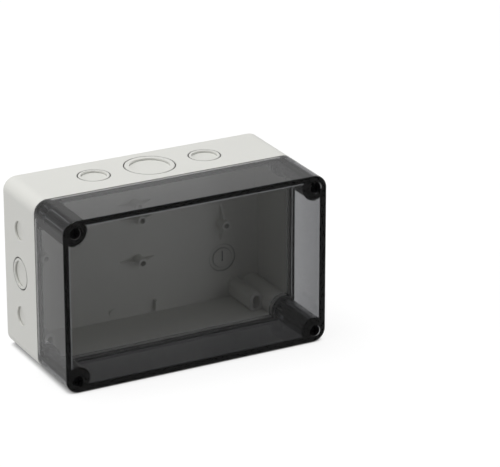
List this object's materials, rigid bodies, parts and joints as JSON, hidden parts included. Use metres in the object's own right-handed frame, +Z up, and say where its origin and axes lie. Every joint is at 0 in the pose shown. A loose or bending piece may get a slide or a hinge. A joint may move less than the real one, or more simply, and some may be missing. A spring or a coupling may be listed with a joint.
{
  "type": "electrical enclosure",
  "caption": "Wall-mounted electrical enclosure: pale moulded base with round cable knockouts and a deep smoked see-through lid on captive corner screws.",
  "frame": {"origin": "centre of the back face, which lies against the wall", "axes": "+X along the width, +Z up, and the lid faces -Y"},
  "size_m": [0.18, 0.09, 0.112],
  "materials": {
    "base_plastic": "fine moulded satin, pale grey",
    "smoked_clear": "clear smoked, polished",
    "gasket_foam": "foamed in place, dark, matt",
    "screw_plastic": "black moulded plastic",
    "ring_rubber": "black rubber, matt"
  },
  "bodies": {
    "base": {"enclosure_base": "base_plastic"},
    "lid": {"lid": "smoked_clear", "lid_gasket": "gasket_foam"},
    "ring_top_left": {"screw_ring_top_left": "ring_rubber"},
    "screw_top_left": {"lid_screw_top_left": "screw_plastic"},
    "ring_top_right": {"screw_ring_top_right": "ring_rubber"},
    "screw_top_right": {"lid_screw_top_right": "screw_plastic"},
    "ring_bottom_left": {"screw_ring_bottom_left": "ring_rubber"},
    "screw_bottom_left": {"lid_screw_bottom_left": "screw_plastic"},
    "ring_bottom_right": {"screw_ring_bottom_right": "ring_rubber"},
    "screw_bottom_right": {"lid_screw_bottom_right": "screw_plastic"}
  },
  "joints": [
    {"name": "lid_lift", "type": "slide", "parent": "base", "child": "lid", "axis": [0, -1, 0], "range_m": [0, 0.06]},
    {"name": "screw_out_top_left", "type": "slide", "parent": "lid", "child": "ring_top_left", "axis": [0, -1, 0], "range_m": [0, 0.0115]},
    {"name": "screw_turn_top_left", "type": "hinge", "parent": "ring_top_left", "child": "screw_top_left", "pos_m": [-0.0823, -0.0588, 0.0483], "axis": [0, -1, 0], "range_deg": [0, 1800]},
    {"name": "screw_out_top_right", "type": "slide", "parent": "lid", "child": "ring_top_right", "axis": [0, -1, 0], "range_m": [0, 0.0115]},
    {"name": "screw_turn_top_right", "type": "hinge", "parent": "ring_top_right", "child": "screw_top_right", "pos_m": [0.0823, -0.0588, 0.0483], "axis": [0, -1, 0], "range_deg": [0, 1800]},
    {"name": "screw_out_bottom_left", "type": "slide", "parent": "lid", "child": "ring_bottom_left", "axis": [0, -1, 0], "range_m": [0, 0.0115]},
    {"name": "screw_turn_bottom_left", "type": "hinge", "parent": "ring_bottom_left", "child": "screw_bottom_left", "pos_m": [-0.0823, -0.0588, -0.0483], "axis": [0, -1, 0], "range_deg": [0, 1800]},
    {"name": "screw_out_bottom_right", "type": "slide", "parent": "lid", "child": "ring_bottom_right", "axis": [0, -1, 0], "range_m": [0, 0.0115]},
    {"name": "screw_turn_bottom_right", "type": "hinge", "parent": "ring_bottom_right", "child": "screw_bottom_right", "pos_m": [0.0823, -0.0588, -0.0483], "axis": [0, -1, 0], "range_deg": [0, 1800]}
  ],
  "couplings": [
    {"joint": "screw_turn_top_left", "follows": "screw_out_top_left", "rad_per_m": 2731.8},
    {"joint": "screw_turn_top_right", "follows": "screw_out_top_right", "rad_per_m": 2731.8},
    {"joint": "screw_turn_bottom_left", "follows": "screw_out_bottom_left", "rad_per_m": 2731.8},
    {"joint": "screw_turn_bottom_right", "follows": "screw_out_bottom_right", "rad_per_m": 2731.8}
  ]
}
